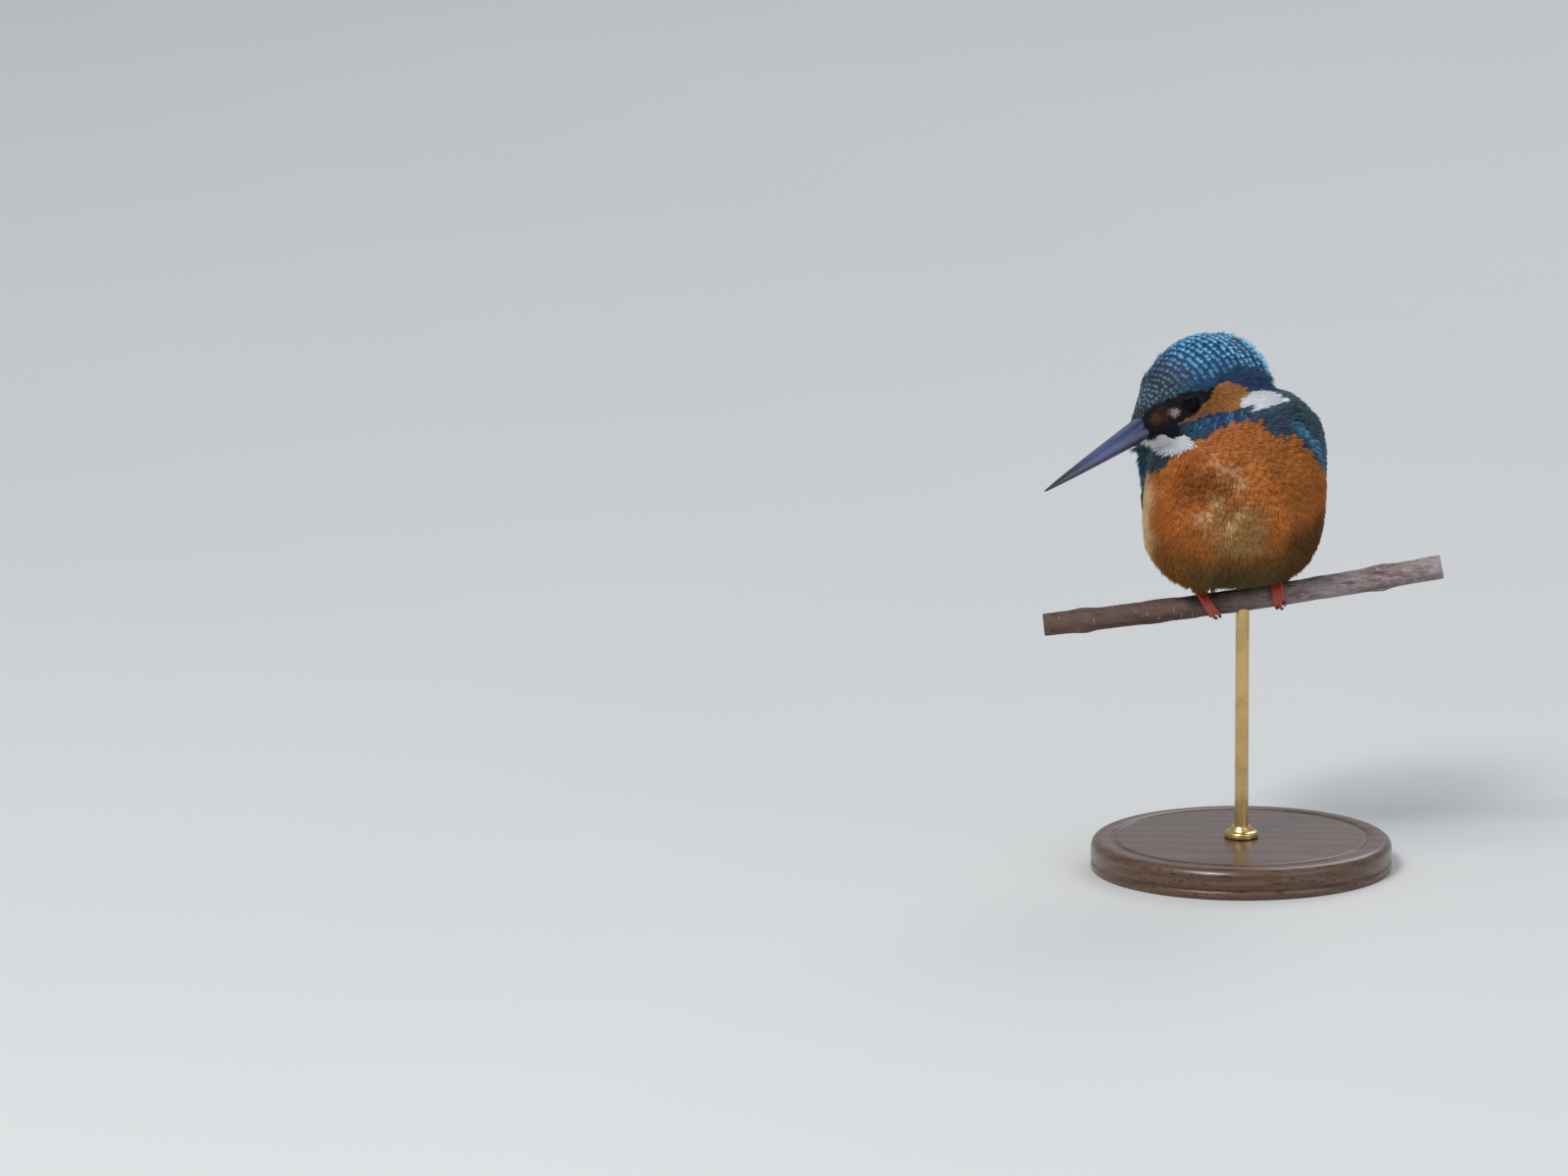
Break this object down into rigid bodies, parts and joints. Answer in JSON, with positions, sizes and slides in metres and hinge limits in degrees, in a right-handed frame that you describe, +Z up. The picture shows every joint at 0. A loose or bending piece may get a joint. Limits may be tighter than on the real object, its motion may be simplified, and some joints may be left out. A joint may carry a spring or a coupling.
{
  "type": "kingfisher model",
  "caption": "Life-size common kingfisher gripping a cut length of branch, its head turned to its right, held up by a rod on a flat round base.",
  "frame": {"origin": "centre of the round base's underside", "axes": "+Z up; the bird's trunk faces -Y and its left side is +X"},
  "size_m": [0.1172, 0.1065, 0.1596],
  "materials": {
    "plumage_blue": "dense short feathers, dark blue-green with bright azure",
    "plumage_orange": "soft loose feathers, warm orange with a paler middle",
    "bill_horn": "smooth dark horn with a soft shine",
    "eye": "wet, almost black",
    "leg_skin": "coral red, finely scaled",
    "claw_horn": "dark horn",
    "bark": "thin grey-brown bark with pale breathing pores, cut ends bare",
    "stand_wood": "satin varnish",
    "stand_metal": "satin"
  },
  "bodies": {
    "root": {"head": "plumage_blue", "neck": "plumage_orange", "trunk": "plumage_orange", "tail": "plumage_blue", "wing_left": "plumage_blue", "wing_right": "plumage_blue", "bill_upper": "bill_horn", "bill_lower": "bill_horn", "eye_left": "eye", "eye_right": "eye", "leg_left": "leg_skin", "leg_right": "leg_skin", "claw_left_inner": "claw_horn", "claw_left_middle": "claw_horn", "claw_left_outer": "claw_horn", "claw_left_hind": "claw_horn", "claw_right_inner": "claw_horn", "claw_right_middle": "claw_horn", "claw_right_outer": "claw_horn", "claw_right_hind": "claw_horn", "perch": "bark", "stand_base": "stand_wood", "stand_rod": "stand_metal", "stand_collar": "stand_metal"}
  },
  "joints": []
}
